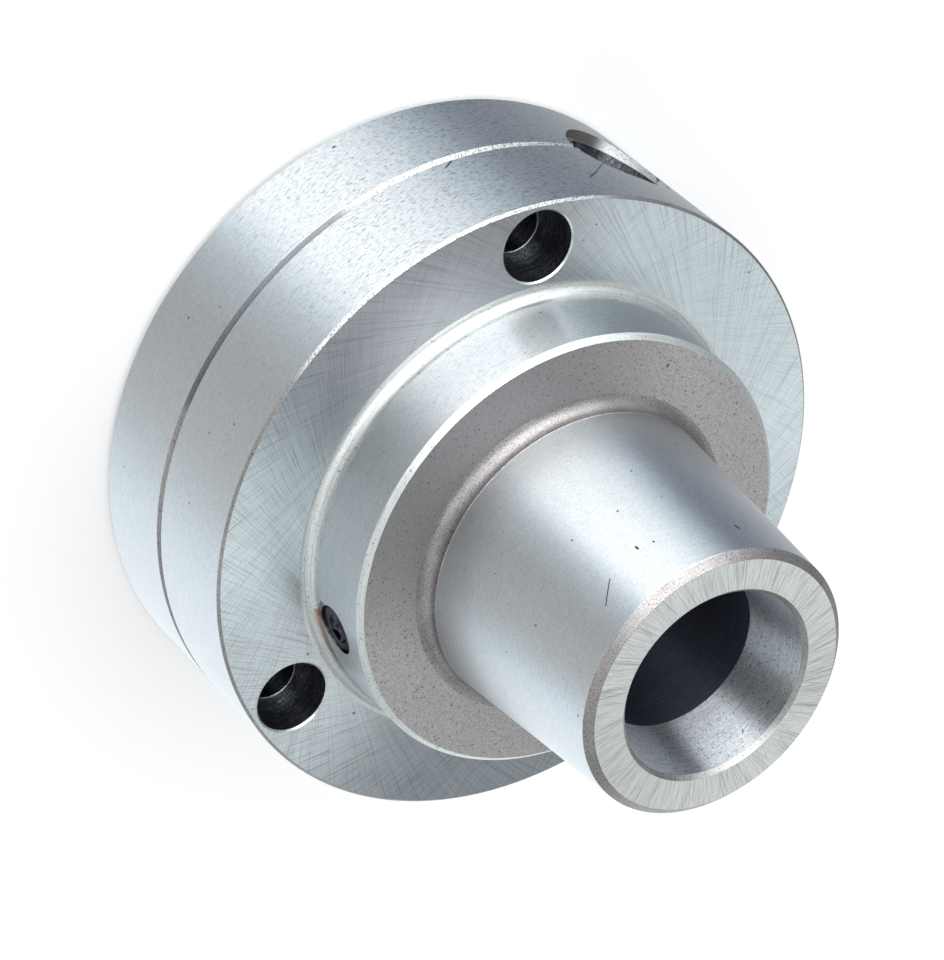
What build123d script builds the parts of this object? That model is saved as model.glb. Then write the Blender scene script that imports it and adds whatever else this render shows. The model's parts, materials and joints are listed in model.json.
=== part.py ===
from build123d import *
import math
import os

os.makedirs("parts", exist_ok=True)

# Driving dimensions in millimetres and degrees.
# Z is the spindle axis, z = 0 is the back face, the nose points up and X runs along the key pinion.

# Flange, in two halves that meet at the parting line
rim_d = 125.0
back_half_length = 20.15
front_half_length = 22.3
rim_edge_chamfer = 0.5
parting_chamfer = 0.83

# Hub and tapered nose
hub_length = 16.85
hub_chamfer = 1.0
hub_cove_r = 2.5
nose_length = 47.0
nose_root_d = 59.7
nose_tip_d = 52.4
nose_fillet_r = 2.4
nose_land_margin = 0.2
nose_step = 0.12
tip_chamfer = 1.4

# Collet seat and bore
mouth_d = 38.0
mouth_chamfer = 0.8
seat_angle = 10.0
bore_d = 31.9
bore_relief_step = 0.45
bore_relief_room = 1.85

# Back register and spindle side opening
register_web = 1.5
register_depth = 4.0
register_chamfer = 0.6
back_lip_length = 2.0
back_opening_d = 36.0

# Mounting holes, for screws with sunk heads, between the rim and the hub
mount_count = 3
mount_angle = 30.0
mount_hole_d = 10.0
head_bore_d = 14.0
head_bore_depth = 8.4
head_bore_chamfer = 0.4
head_bore_wall = 1.5
head_bore_hub_land = 3.35

# Body screws, between the mounting holes, and dowel pins
body_screw_count = 3
body_screw_angle = 90.0
body_screw_wall = 2.5
body_screw_d = 6.0
body_screw_length = 25.0
body_screw_head_d = 10.0
body_screw_head_length = 6.0
body_screw_hex = 5.0
body_screw_hex_depth = 3.0
body_screw_sink = 0.6
body_screw_tip_room = 2.0
dowel_wall = 6.0
dowel_angles = [60.0, 240.0]
dowel_d = 5.0
dowel_length = 20.0
dowel_end_room = 0.5

# Bevel pair: the teeth shrink towards the point where the two axes cross
gear_module = 1.5
ring_teeth = 52
pinion_teeth = 11
pressure_angle = 25.0
gear_boss_room = 2.0
tooth_addendum = 1.42
tooth_dedendum = 1.8
gear_backlash = 0.16
tooth_sink = 0.6
flank_steps = 5

# Key pinion
pinion_journal_d = 19.0
pinion_neck_d = 12.0
pinion_neck_length = 1.0
pinion_recess = 1.8
pinion_end_chamfer = 0.5
pinion_collar_d = 23.0
pinion_collar_length = 3.0
pinion_collar_inset = 5.0
key_square = 8.0
key_square_depth = 13.0
spot_face_d = 21.8
spot_face_depth = 1.85

# Draw ring
draw_thread_minor_d = 30.07
draw_thread_length = 25.0
ring_sleeve_d = 44.8
ring_back_relief = 1.465
ring_boss_d = 55.0
ring_flange_margin = 0.4
ring_flange_reach = 13.85
ring_key_web = 2.1
ring_edge_chamfer = 0.5

# Needle thrust bearing: its needles lie between the cage's inner and outer rims
needle_count = 24
needle_d = 3.0
bearing_outer_d = 64.8
washer_thickness = 1.0
cage_thickness = 2.2
cage_inner_rim = 0.9
cage_outer_rim = 1.0

# Collet key in the side of the hub
key_angle = 132.5
key_height = 7.15
key_screw_d = 9.5
key_screw_length = 12.0
key_screw_sink = 0.9
key_screw_hex = 5.0
key_screw_hex_depth = 4.0
key_screw_chamfer = 0.6
key_pin_d = 5.0
key_tip_d = 3.1
key_tip_reach = 0.9

# Clearances
running_gap = 0.04
end_gap = 0.1
thread_gap = 0.05
loose_gap = 0.3
roller_gap = 0.02
pocket_gap = 0.5
dowel_gap = 0.005

# Heights and radii that follow from the sizes above
parting_z = back_half_length
face_z = parting_z + front_half_length
hub_z = face_z + hub_length
tip_z = hub_z + nose_length
rim_r = rim_d / 2
mount_pcd = rim_d - 2 * head_bore_wall - head_bore_d
hub_d = mount_pcd - head_bore_d - 2 * head_bore_hub_land
hub_r = hub_d / 2
register_r = (mount_pcd - mount_hole_d) / 2 - register_web
body_screw_pcd = rim_d - 2 * body_screw_wall - body_screw_head_d
body_screw_end_z = body_screw_sink + body_screw_head_length + body_screw_length
dowel_pcd = rim_d - 2 * dowel_wall - dowel_d
bore_r = bore_d / 2
bore_relief_r = bore_r + bore_relief_step
mouth_r = mouth_d / 2
seat_r = mouth_r - mouth_chamfer
seat_length = (seat_r - bore_r) / math.tan(math.radians(seat_angle))
nose_land = nose_fillet_r + nose_land_margin
key_z = face_z + key_height
key_shoulder_r = bore_relief_r + end_gap
key_screw_seat_r = hub_r - key_screw_sink - key_screw_length
relief_z = key_z + key_pin_d / 2 + bore_relief_room
ring_pitch_r = gear_module * ring_teeth / 2
pinion_pitch_r = gear_module * pinion_teeth / 2
pinion_cone = math.atan2(pinion_pitch_r, ring_pitch_r)
gear_inner_r = ring_boss_d / 2 + gear_boss_room
ring_sleeve_r = ring_sleeve_d / 2
ring_flange_r = ring_pitch_r + ring_flange_margin
ring_front_z = key_z - key_pin_d / 2 - ring_key_web
ring_back_bore_r = draw_thread_minor_d / 2 + ring_back_relief
flange_front_z = parting_z + ring_flange_reach
sleeve_bore_r = ring_sleeve_r + running_gap
washer_bore_r = ring_sleeve_r + loose_gap
needle_z = flange_front_z + washer_thickness + needle_d / 2
needle_start_r = washer_bore_r + cage_inner_rim
needle_length = bearing_outer_d / 2 - cage_outer_rim - needle_start_r
bearing_top_z = flange_front_z + 2 * washer_thickness + needle_d
back_lip_z = register_depth + back_lip_length
spot_floor_r = rim_r - spot_face_depth
journal_start = ring_pitch_r + pinion_neck_length
pinion_end = spot_floor_r - pinion_recess
collar_start = journal_start + pinion_collar_inset
journal_bore_r = pinion_journal_d / 2 + running_gap
pinion_plane = Plane(origin=(0, 0, parting_z), x_dir=(0, 1, 0), z_dir=(1, 0, 0))
key_plane = Plane(origin=(0, 0, key_z), x_dir=(0, 0, 1),
                  z_dir=(math.cos(math.radians(key_angle)), math.sin(math.radians(key_angle)), 0))


def nose_radius(z):
    """Radius of the nose's taper at a height."""
    return (nose_root_d + (nose_tip_d - nose_root_d) * (z - hub_z) / nose_length) / 2


def involute(angle):
    """The involute function of an angle in radians."""
    return math.tan(angle) - angle


def scaled(points, factor):
    """Points moved towards the crossing of the gear axes by one factor."""
    return [(x * factor, y * factor) for x, y in points]


def pinion_tooth_outline():
    """Outline of one pinion tooth about its centre line, where the ring's pitch circle passes."""
    pitch = pinion_pitch_r / math.cos(pinion_cone)
    base = pitch * math.cos(math.radians(pressure_angle))
    half = (math.pi * gear_module - gear_backlash) / 4 / pitch + involute(math.radians(pressure_angle))
    side = []
    for step in range(flank_steps + 1):
        height = -tooth_dedendum + (tooth_dedendum + tooth_addendum) * step / flank_steps
        radius = pitch + height
        turn = (half - involute(math.acos(min(1.0, base / radius)))) / math.cos(pinion_cone)
        reach = radius * math.cos(pinion_cone) * ring_pitch_r / (ring_pitch_r - height * math.sin(pinion_cone))
        side.append((reach, turn))
    side.insert(0, (side[0][0] - tooth_sink, side[0][1]))
    upper = [(reach * math.cos(turn), reach * math.sin(turn)) for reach, turn in side]
    lower = [(x, -y) for x, y in reversed(upper)]
    return upper + lower


def ring_tooth_outline():
    """Outline of one draw ring tooth, as (across, above the crossing of the axes), at the pitch circle."""
    half = (math.pi * gear_module - gear_backlash) / 4
    side = []
    for height in (-tooth_dedendum, tooth_addendum):
        factor = ring_pitch_r / (ring_pitch_r + height * math.sin(pinion_cone))
        across = half - height * math.tan(math.radians(pressure_angle))
        side.append((across * factor, (pinion_pitch_r - height * math.cos(pinion_cone)) * factor))
    side.insert(0, (side[0][0], side[0][1] + tooth_sink))
    return side + [(-x, y) for x, y in reversed(side)]


def root_height(outline, radius):
    """Height of the ring's root cone above the crossing of the axes, at a radius."""
    return outline[1][1] * radius / ring_pitch_r


def cut_round(plane, start, end, radius):
    """Remove a cylinder about a plane's normal from the piece being made."""
    with BuildSketch(plane.offset(start)) as outline:
        Circle(radius)
    extrude(outline.sketch, amount=end - start, mode=Mode.SUBTRACT)


def cut_pinion_chamber():
    """Remove the room for the key pinion, half of which lies in each half of the flange."""
    cut_round(pinion_plane, gear_inner_r - pinion_neck_length, journal_start,
              pinion_pitch_r + tooth_addendum + pocket_gap)
    cut_round(pinion_plane, journal_start - pinion_neck_length, rim_r, journal_bore_r)
    cut_round(pinion_plane, collar_start - end_gap, collar_start + pinion_collar_length + end_gap,
              pinion_collar_d / 2 + loose_gap)
    cut_round(pinion_plane, spot_floor_r, rim_r, spot_face_d / 2)


def circle_edges(part, radius, z):
    """The part's circular edges of one radius at one height."""
    rings = part.edges().filter_by(GeomType.CIRCLE)
    return rings.filter_by(lambda e: math.isclose(e.radius, radius, rel_tol=1e-6)
                           and math.isclose(e.arc_center.Z, z, rel_tol=1e-6))


def finish(part, name):
    """Label a piece and write its file."""
    part.label = name
    export_step(part, f"parts/{name}.step")


# Front body: front half of the flange, hub and nose, turned from one piece
with BuildPart() as front_body:
    with BuildSketch(Plane.XZ):
        with BuildLine():
            Polyline(
                (ring_flange_r + pocket_gap, parting_z),
                (rim_r - parting_chamfer, parting_z),
                (rim_r, parting_z + parting_chamfer),
                (rim_r, face_z - rim_edge_chamfer),
                (rim_r - rim_edge_chamfer, face_z),
                (hub_r, face_z),
                (hub_r, hub_z - hub_chamfer),
                (hub_r - hub_chamfer, hub_z),
                (nose_radius(hub_z) + nose_step, hub_z),
                (nose_radius(hub_z + nose_land) + nose_step, hub_z + nose_land),
                (nose_radius(hub_z + nose_land + nose_step), hub_z + nose_land + nose_step),
                (nose_radius(tip_z - tip_chamfer), tip_z - tip_chamfer),
                (nose_radius(tip_z) - tip_chamfer, tip_z),
                (mouth_r, tip_z),
                (seat_r, tip_z - mouth_chamfer),
                (bore_r, tip_z - mouth_chamfer - seat_length),
                (bore_r, relief_z),
                (bore_relief_r, relief_z),
                (bore_relief_r, ring_front_z + loose_gap),
                (sleeve_bore_r, ring_front_z + loose_gap),
                (sleeve_bore_r, bearing_top_z),
                (bearing_outer_d / 2 + loose_gap, bearing_top_z),
                (bearing_outer_d / 2 + loose_gap, flange_front_z + loose_gap),
                (ring_flange_r + pocket_gap, flange_front_z + loose_gap),
                close=True,
            )
        make_face()
    revolve(axis=Axis.Z)
    fillet(circle_edges(front_body, hub_r, face_z), hub_cove_r)
    fillet(circle_edges(front_body, nose_radius(hub_z) + nose_step, hub_z), nose_fillet_r)
    with Locations(Plane.XY.offset(face_z)):
        with PolarLocations(mount_pcd / 2, mount_count, start_angle=mount_angle):
            CounterBoreHole(mount_hole_d / 2, head_bore_d / 2, head_bore_depth)
    chamfer(circle_edges(front_body, head_bore_d / 2, face_z), head_bore_chamfer)
    with BuildSketch(Plane.XY.offset(parting_z)):
        with PolarLocations(body_screw_pcd / 2, body_screw_count, start_angle=body_screw_angle):
            Circle(body_screw_d / 2 + thread_gap)
    extrude(amount=body_screw_end_z + body_screw_tip_room - parting_z, mode=Mode.SUBTRACT)
    for angle in dowel_angles:
        with BuildSketch(Plane.XY.offset(parting_z)):
            with PolarLocations(dowel_pcd / 2, 1, start_angle=angle):
                Circle(dowel_d / 2 + dowel_gap)
        extrude(amount=dowel_length / 2 + dowel_end_room, mode=Mode.SUBTRACT)
    cut_pinion_chamber()
    cut_round(key_plane, key_screw_seat_r, rim_r, key_screw_d / 2 + thread_gap)
    cut_round(key_plane, 0, key_screw_seat_r, key_pin_d / 2 + dowel_gap)
finish(front_body.part, "front_body")

# Rear body: back half of the flange, with the register for the machine's adapter
with BuildPart() as rear_body:
    with BuildSketch(Plane.XZ):
        with BuildLine():
            Polyline(
                (register_r + register_chamfer, 0),
                (rim_r - rim_edge_chamfer, 0),
                (rim_r, rim_edge_chamfer),
                (rim_r, parting_z - parting_chamfer),
                (rim_r - parting_chamfer, parting_z),
                (sleeve_bore_r, parting_z),
                (sleeve_bore_r, back_lip_z),
                (back_opening_d / 2, back_lip_z),
                (back_opening_d / 2, register_depth),
                (register_r, register_depth),
                (register_r, register_chamfer),
                close=True,
            )
        make_face()
    revolve(axis=Axis.Z)
    with BuildSketch(Plane.XY):
        with PolarLocations(mount_pcd / 2, mount_count, start_angle=mount_angle):
            Circle(mount_hole_d / 2)
    extrude(amount=parting_z, mode=Mode.SUBTRACT)
    with BuildSketch(Plane.XY):
        with PolarLocations(body_screw_pcd / 2, body_screw_count, start_angle=body_screw_angle):
            Circle(body_screw_d / 2 + loose_gap)
    extrude(amount=parting_z, mode=Mode.SUBTRACT)
    with BuildSketch(Plane.XY):
        with PolarLocations(body_screw_pcd / 2, body_screw_count, start_angle=body_screw_angle):
            Circle(body_screw_head_d / 2 + loose_gap)
    extrude(amount=body_screw_head_length + body_screw_sink, mode=Mode.SUBTRACT)
    for angle in dowel_angles:
        with BuildSketch(Plane.XY.offset(parting_z)):
            with PolarLocations(dowel_pcd / 2, 1, start_angle=angle):
                Circle(dowel_d / 2 + dowel_gap)
        extrude(amount=-(dowel_length / 2 + dowel_end_room), mode=Mode.SUBTRACT)
    cut_pinion_chamber()
finish(rear_body.part, "rear_body")

# One tooth of the draw ring, on the X axis, and one of the pinion about its own axis
ring_outline = ring_tooth_outline()
inner_factor = gear_inner_r / ring_pitch_r
with BuildPart() as ring_tooth:
    for factor in (inner_factor, 1.0):
        with BuildSketch(pinion_plane.offset(ring_pitch_r * factor)):
            with BuildLine():
                Polyline(*scaled(ring_outline, factor), close=True)
            make_face()
    loft(ruled=True)

pinion_outline = pinion_tooth_outline()
with BuildPart() as pinion_tooth:
    for factor in (inner_factor, 1.0):
        with BuildSketch(Plane.XY.offset(ring_pitch_r * factor)):
            with BuildLine():
                Polyline(*scaled(pinion_outline, factor), close=True)
            make_face()
    loft(ruled=True)

# Draw ring: threaded for the collet's tail, driven by its bevel teeth
with BuildPart() as draw_ring:
    with BuildSketch(Plane.XZ):
        with BuildLine():
            Polyline(
                (ring_back_bore_r, back_lip_z + end_gap),
                (ring_sleeve_r - ring_edge_chamfer, back_lip_z + end_gap),
                (ring_sleeve_r, back_lip_z + end_gap + ring_edge_chamfer),
                (ring_sleeve_r, parting_z + end_gap),
                (ring_boss_d / 2, parting_z + end_gap),
                (ring_boss_d / 2, parting_z + root_height(ring_outline, ring_boss_d / 2)),
                (ring_flange_r, parting_z + root_height(ring_outline, ring_flange_r)),
                (ring_flange_r, flange_front_z),
                (ring_sleeve_r, flange_front_z),
                (ring_sleeve_r, ring_front_z - ring_edge_chamfer),
                (ring_sleeve_r - ring_edge_chamfer, ring_front_z),
                (draw_thread_minor_d / 2 + ring_edge_chamfer, ring_front_z),
                (draw_thread_minor_d / 2, ring_front_z - ring_edge_chamfer),
                (draw_thread_minor_d / 2, ring_front_z - draw_thread_length),
                (ring_back_bore_r, ring_front_z - draw_thread_length),
                close=True,
            )
        make_face()
    revolve(axis=Axis.Z)
    with PolarLocations(0, ring_teeth, start_angle=180 / ring_teeth):
        add(ring_tooth.part)
finish(draw_ring.part, "draw_ring")

# Key pinion: bevel head, collar and journal, with a square socket for the key
root_reach = pinion_outline[1][0] / math.cos(math.atan2(pinion_outline[1][1], pinion_outline[1][0]))
with BuildPart(pinion_plane) as pinion:
    for factor in (inner_factor, 1.0):
        with BuildSketch(pinion_plane.offset(ring_pitch_r * factor)):
            Circle(root_reach * factor)
    loft(ruled=True)
    with PolarLocations(0, pinion_teeth, start_angle=90):
        add(pinion_tooth.part)
    with BuildSketch(pinion_plane.offset(ring_pitch_r)):
        Circle(pinion_neck_d / 2)
    extrude(amount=pinion_neck_length)
    with BuildSketch(pinion_plane.offset(journal_start)):
        Circle(pinion_journal_d / 2)
    extrude(amount=pinion_end - journal_start)
    chamfer(pinion.faces().sort_by(Axis.X)[-1].edges(), pinion_end_chamfer)
    with BuildSketch(pinion_plane.offset(collar_start)):
        Circle(pinion_collar_d / 2)
    extrude(amount=pinion_collar_length)
    with BuildSketch(pinion_plane.offset(pinion_end)):
        Rectangle(key_square, key_square)
    extrude(amount=-key_square_depth, mode=Mode.SUBTRACT)
finish(pinion.part, "pinion")

# Needle thrust bearing between the draw ring and the front body
for name, z in (("thrust_washer_rear", flange_front_z),
                ("thrust_washer_front", bearing_top_z - washer_thickness)):
    with BuildPart() as washer:
        with BuildSketch(Plane.XY.offset(z)):
            Circle(bearing_outer_d / 2)
            Circle(washer_bore_r, mode=Mode.SUBTRACT)
        extrude(amount=washer_thickness)
    finish(washer.part, name)

with BuildPart() as needle_cage:
    with BuildSketch(Plane.XY.offset(needle_z - cage_thickness / 2)):
        Circle(bearing_outer_d / 2 - loose_gap)
        Circle(washer_bore_r, mode=Mode.SUBTRACT)
        with PolarLocations(needle_start_r + needle_length / 2, needle_count):
            Rectangle(needle_length + 2 * end_gap, needle_d + 2 * end_gap, mode=Mode.SUBTRACT)
    extrude(amount=cage_thickness)
finish(needle_cage.part, "needle_cage")

for number in range(needle_count):
    turn = math.radians(360 * number / needle_count)
    needle_plane = Plane(origin=(0, 0, needle_z), x_dir=(0, 0, 1), z_dir=(math.cos(turn), math.sin(turn), 0))
    with BuildPart() as needle:
        with BuildSketch(needle_plane.offset(needle_start_r)):
            Circle(needle_d / 2 - roller_gap)
        extrude(amount=needle_length)
    finish(needle.part, f"needle_{number + 1:02d}")

# Collet key: a pin whose tip stands in the bore, held by a set screw
with BuildPart() as key_pin:
    with BuildSketch(key_plane.offset(key_shoulder_r)):
        Circle(key_pin_d / 2)
    extrude(amount=key_screw_seat_r - key_shoulder_r)
    with BuildSketch(key_plane.offset(bore_r - key_tip_reach)):
        Circle(key_tip_d / 2)
    extrude(amount=key_shoulder_r - bore_r + key_tip_reach)
finish(key_pin.part, "key_pin")

with BuildPart() as key_screw:
    with BuildSketch(key_plane.offset(key_screw_seat_r)):
        Circle(key_screw_d / 2)
    extrude(amount=key_screw_length)
    chamfer(key_screw.edges().filter_by(GeomType.CIRCLE), key_screw_chamfer)
    with BuildSketch(key_plane.offset(key_screw_seat_r + key_screw_length)):
        RegularPolygon(key_screw_hex / 2, 6, major_radius=False)
    extrude(amount=-key_screw_hex_depth, mode=Mode.SUBTRACT)
finish(key_screw.part, "key_screw")

# Body screws from the back, and dowel pins across the parting line
for number in range(body_screw_count):
    turn = math.radians(body_screw_angle + 360 * number / body_screw_count)
    screw_r = body_screw_pcd / 2
    screw_plane = Plane.XY.move(Location((screw_r * math.cos(turn), screw_r * math.sin(turn), 0)))
    with BuildPart() as body_screw:
        with BuildSketch(screw_plane.offset(body_screw_sink)):
            Circle(body_screw_head_d / 2)
        extrude(amount=body_screw_head_length)
        with BuildSketch(screw_plane.offset(body_screw_sink + body_screw_head_length)):
            Circle(body_screw_d / 2)
        extrude(amount=body_screw_length)
        with BuildSketch(screw_plane.offset(body_screw_sink)):
            RegularPolygon(body_screw_hex / 2, 6, major_radius=False)
        extrude(amount=body_screw_hex_depth, mode=Mode.SUBTRACT)
    finish(body_screw.part, f"body_screw_{number + 1}")

for number, angle in enumerate(dowel_angles):
    turn = math.radians(angle)
    dowel_r = dowel_pcd / 2
    dowel_plane = Plane.XY.move(Location((dowel_r * math.cos(turn), dowel_r * math.sin(turn),
                                          parting_z - dowel_length / 2)))
    with BuildPart() as dowel:
        with BuildSketch(dowel_plane):
            Circle(dowel_d / 2)
        extrude(amount=dowel_length)
    finish(dowel.part, f"dowel_{number + 1}")
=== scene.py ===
import json
import math
import bmesh
import bpy
from mathutils import Matrix, Vector


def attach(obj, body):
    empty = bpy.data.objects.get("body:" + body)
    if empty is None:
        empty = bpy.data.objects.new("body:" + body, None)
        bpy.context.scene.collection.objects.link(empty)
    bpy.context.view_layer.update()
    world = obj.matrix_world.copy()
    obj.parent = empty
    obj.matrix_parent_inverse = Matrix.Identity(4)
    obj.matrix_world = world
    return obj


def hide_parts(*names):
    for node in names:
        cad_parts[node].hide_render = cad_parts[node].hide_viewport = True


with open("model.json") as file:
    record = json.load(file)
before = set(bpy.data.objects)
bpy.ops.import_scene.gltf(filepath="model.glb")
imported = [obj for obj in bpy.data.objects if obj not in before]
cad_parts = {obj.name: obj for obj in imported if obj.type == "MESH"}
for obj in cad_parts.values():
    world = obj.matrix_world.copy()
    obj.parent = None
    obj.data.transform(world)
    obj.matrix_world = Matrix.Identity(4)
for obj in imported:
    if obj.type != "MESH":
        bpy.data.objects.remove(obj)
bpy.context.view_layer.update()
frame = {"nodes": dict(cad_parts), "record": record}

nodes = frame["nodes"]
scene = bpy.context.scene
mm = 0.001
past = 2.0  # how far a cutter stands out of the surface, in millimetres
sides = {"body": 360, "pinionHole": 128, "hole": 96, "screw": 72, "screwHead": 64, "thin": 48, "thread": 64}
sharpFrom = {"turned": 24, "grown": 30}  # the angle in degrees from which an edge is shaded sharp


# Turned shapes: a profile is a list of corners (radius, height, fillet, zone), in millimetres.
# The fillet rounds the corner, and the zone names the finish of the edge that starts there. In a zone
# with a slash, the first name is the fillet's own finish.

def filletArc(before, corner, after, radius, steps):
    toBefore = (before - corner).normalized()
    toAfter = (after - corner).normalized()
    half = toBefore.angle(toAfter) / 2
    reach = radius / math.tan(half)
    centre = corner + (toBefore + toAfter).normalized() * (radius / math.sin(half))
    first = corner + toBefore * reach - centre
    last = corner + toAfter * reach - centre
    start = math.atan2(first.y, first.x)
    sweep = math.atan2(first.x * last.y - first.y * last.x, first.dot(last))
    turns = [start + sweep * i / steps for i in range(steps + 1)]
    return [centre + Vector((math.cos(turn), math.sin(turn))) * radius for turn in turns]


def outline(corners, support=0.15, largeSteps=10, smallSteps=3):
    # points round a closed profile, with a support loop near each end of a long edge
    rings = []
    for i, (r, z, fillet, zone) in enumerate(corners):
        corner = Vector((r, z))
        if not fillet:
            rings.append((corner, zone))
            continue
        before = Vector(corners[i - 1][:2])
        after = Vector(corners[(i + 1) % len(corners)][:2])
        arcZone = zone.split("/")[0] if "/" in zone else corners[i - 1][3].split("/")[-1]
        arc = filletArc(before, corner, after, fillet, largeSteps if fillet > 1 else smallSteps)
        rings += [(point, arcZone) for point in arc[:-1]]
        rings.append((arc[-1], zone.split("/")[-1]))
    points = []
    for i, (point, zone) in enumerate(rings):
        points.append((point, zone))
        following = rings[(i + 1) % len(rings)][0]
        edge = following - point
        if edge.length > 6 * support:
            step = edge.normalized() * support
            points += [(point + step, zone), (following - step, zone)]
    return points


def ringOf(bm, place, radius, height, count):
    # points round the local Z axis, or the one point on it
    if radius < 1e-6:
        return [bm.verts.new(place @ Vector((0, 0, height * mm)))]
    ring = []
    for j in range(count):
        turn = 2 * math.pi * j / count
        point = Vector((radius * math.cos(turn) * mm, radius * math.sin(turn) * mm, height * mm))
        ring.append(bm.verts.new(place @ point))
    return ring


def turned(bm, points, zones, place=None, count=sides["body"], closed=True):
    # revolve points about the local Z axis; points on the axis become poles
    place = place or Matrix.Identity(4)
    rings = [ringOf(bm, place, point.x, point.y, count) for point, zone in points]
    last = len(points) if closed else len(points) - 1
    for i in range(last):
        a = rings[i]
        b = rings[(i + 1) % len(rings)]
        for j in range(count):
            k = (j + 1) % count
            corners = [a[j % len(a)], a[k % len(a)], b[k % len(b)], b[j % len(b)]]
            corners = list(dict.fromkeys(corners))
            if len(corners) > 2:
                face = bm.faces.new(corners)
                face.material_index = zones.index(points[i][1])


def meshFrom(bm, name, finishes, sharpest=sharpFrom["turned"]):
    bmesh.ops.recalc_face_normals(bm, faces=bm.faces)
    mesh = bpy.data.meshes.new(name)
    bm.to_mesh(mesh)
    bm.free()
    for finish in finishes:
        mesh.materials.append(finish)
    mesh.shade_smooth()
    mesh.set_sharp_from_angle(angle=math.radians(sharpest))
    return mesh


def newObject(name, mesh):
    obj = bpy.data.objects.new(name, mesh)
    scene.collection.objects.link(obj)
    return obj


def plainMesh(obj, name):
    # the evaluated object as a plain mesh, with its modifiers gone
    evaluated = obj.evaluated_get(bpy.context.evaluated_depsgraph_get())
    mesh = bpy.data.meshes.new_from_object(evaluated)
    mesh.name = name
    obj.modifiers.clear()
    return mesh


def cutFrom(obj, cutterMesh, sharpest=sharpFrom["turned"]):
    cutter = newObject("cutter", cutterMesh)
    boolean = obj.modifiers.new("cut", "BOOLEAN")
    boolean.operation = "DIFFERENCE"
    boolean.solver = "EXACT"
    boolean.material_mode = "INDEX"
    boolean.object = cutter
    bpy.context.view_layer.update()
    obj.data = plainMesh(obj, obj.name)
    bpy.data.objects.remove(cutter)
    obj.data.shade_smooth()
    obj.data.set_sharp_from_angle(angle=math.radians(sharpest))


def rod(bm, place, steps, zones, count):
    # a rod or cutter turned from (radius, height, zone) steps, closed on its own axis
    points = [(Vector((0, steps[0][1])), steps[0][2])]
    points += [(Vector((r, z)), zone) for r, z, zone in steps]
    points.append((Vector((0, steps[-1][1])), steps[-1][2]))
    turned(bm, points, zones, place, count, closed=False)


def polar(radius, angle, height=0.0):
    turn = math.radians(angle)
    return Vector((radius * math.cos(turn), radius * math.sin(turn), height)) * mm


def axisAlong(height, direction):
    # a frame whose Z runs along a direction, from the spindle axis at a height
    upright = Vector(direction).to_track_quat("Z", "Y").to_matrix().to_4x4()
    return Matrix.Translation(Vector((0, 0, height)) * mm) @ upright


# Front and rear body

flange = {"rimRadius": 62.5, "partingZ": 20.15, "faceZ": 42.45, "edgeChamfer": 0.5,
          "partingChamfer": 0.83, "innerRadius": 39.9, "pocketZ": 34.3, "edgeRound": 0.12}
hub = {"radius": 43.65, "topZ": 59.3, "chamfer": 1.0, "coveRadius": 2.5}
nose = {"rootRadius": 29.85, "tipRadius": 26.2, "tipZ": 106.3, "fillet": 2.4, "land": 0.2, "step": 0.12,
        "tipChamfer": 1.4, "mouthRadius": 19.0, "mouthChamfer": 0.8, "seatAngle": 10.0, "boreRadius": 15.95,
        "reliefRadius": 16.4, "reliefZ": 53.95}
bearingRoom = {"sleeveRadius": 22.44, "ringTopZ": 45.3, "bearingTopZ": 39.0, "bearingRadius": 32.7}
register = {"radius": 47.5, "depth": 4.0, "chamfer": 0.6, "openingRadius": 18.0, "lipZ": 6.0}
mountHoles = {"circle": 54.0, "angles": (30, 150, 270), "radius": 5.0, "headRadius": 7.0, "floorZ": 34.05,
              "chamfer": 0.32, "floorChamfer": 0.15}
screwHoles = {"circle": 55.0, "angles": (90, 210, 330), "radius": 3.3, "headRadius": 5.3, "headDepth": 6.6,
              "threadRadius": 3.05, "threadEndZ": 33.6}
dowelHoles = {"circle": 54.0, "angles": (60, 240), "radius": 2.505, "length": 21.0}
pinionHole = {"headStart": 28.5, "headEnd": 40.0, "headRadius": 10.17, "journalRadius": 9.54,
              "collarStart": 44.9, "collarEnd": 48.1, "collarRadius": 11.8, "spotFloor": 60.65,
              "spotRadius": 10.9}
keyHole = {"angle": 132.5, "height": 49.6, "pinStart": 4.0, "screwSeat": 30.75, "screwRadius": 4.8,
           "pinRadius": 2.505, "end": 49.65}
bodyZones = ["ground", "hubWall", "flangeFace", "turned", "edge", "cove", "noseEnd", "seat", "bore", "hole",
             "spot", "back"]


def noseRadius(z):
    share = (z - hub["topZ"]) / (nose["tipZ"] - hub["topZ"])
    return nose["rootRadius"] + (nose["tipRadius"] - nose["rootRadius"]) * share


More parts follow.
